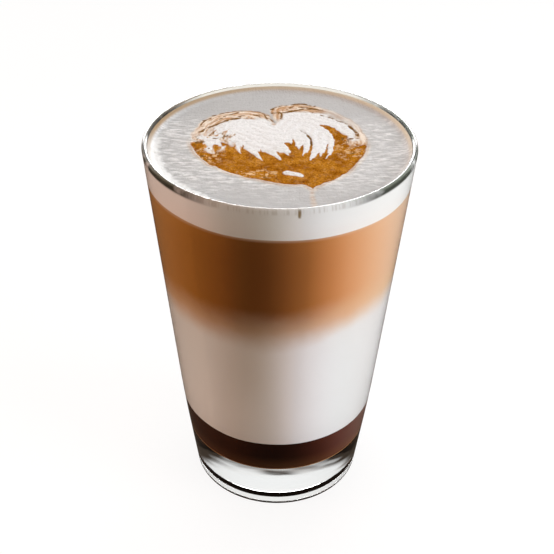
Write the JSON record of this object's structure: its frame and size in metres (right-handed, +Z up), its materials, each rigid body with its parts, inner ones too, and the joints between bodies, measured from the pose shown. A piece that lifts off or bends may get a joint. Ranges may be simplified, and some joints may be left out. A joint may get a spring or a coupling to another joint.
{
  "type": "latte in a glass tumbler",
  "caption": "Layered latte in a conical glass tumbler: dark syrup, milk, milky coffee and a cap of foam with latte art.",
  "frame": {"origin": "centre of the foot, on the plane the glass stands on", "axes": "+Z up along the axis of the glass; the tip of the heart on the foam points to -Y"},
  "size_m": [0.0818, 0.0818, 0.123],
  "materials": {
    "clear_glass": "clear, fire polished",
    "syrup": "dark, glossy, nearly opaque liquid",
    "milk": "opaque white liquid, wet against the glass",
    "coffee": "milky light brown liquid, wet against the glass",
    "foam": "fine milk foam, matt, with a brown and white heart on top"
  },
  "bodies": {
    "root": {"glass": "clear_glass", "syrup": "syrup", "milk": "milk", "coffee": "coffee", "foam": "foam"}
  },
  "joints": []
}
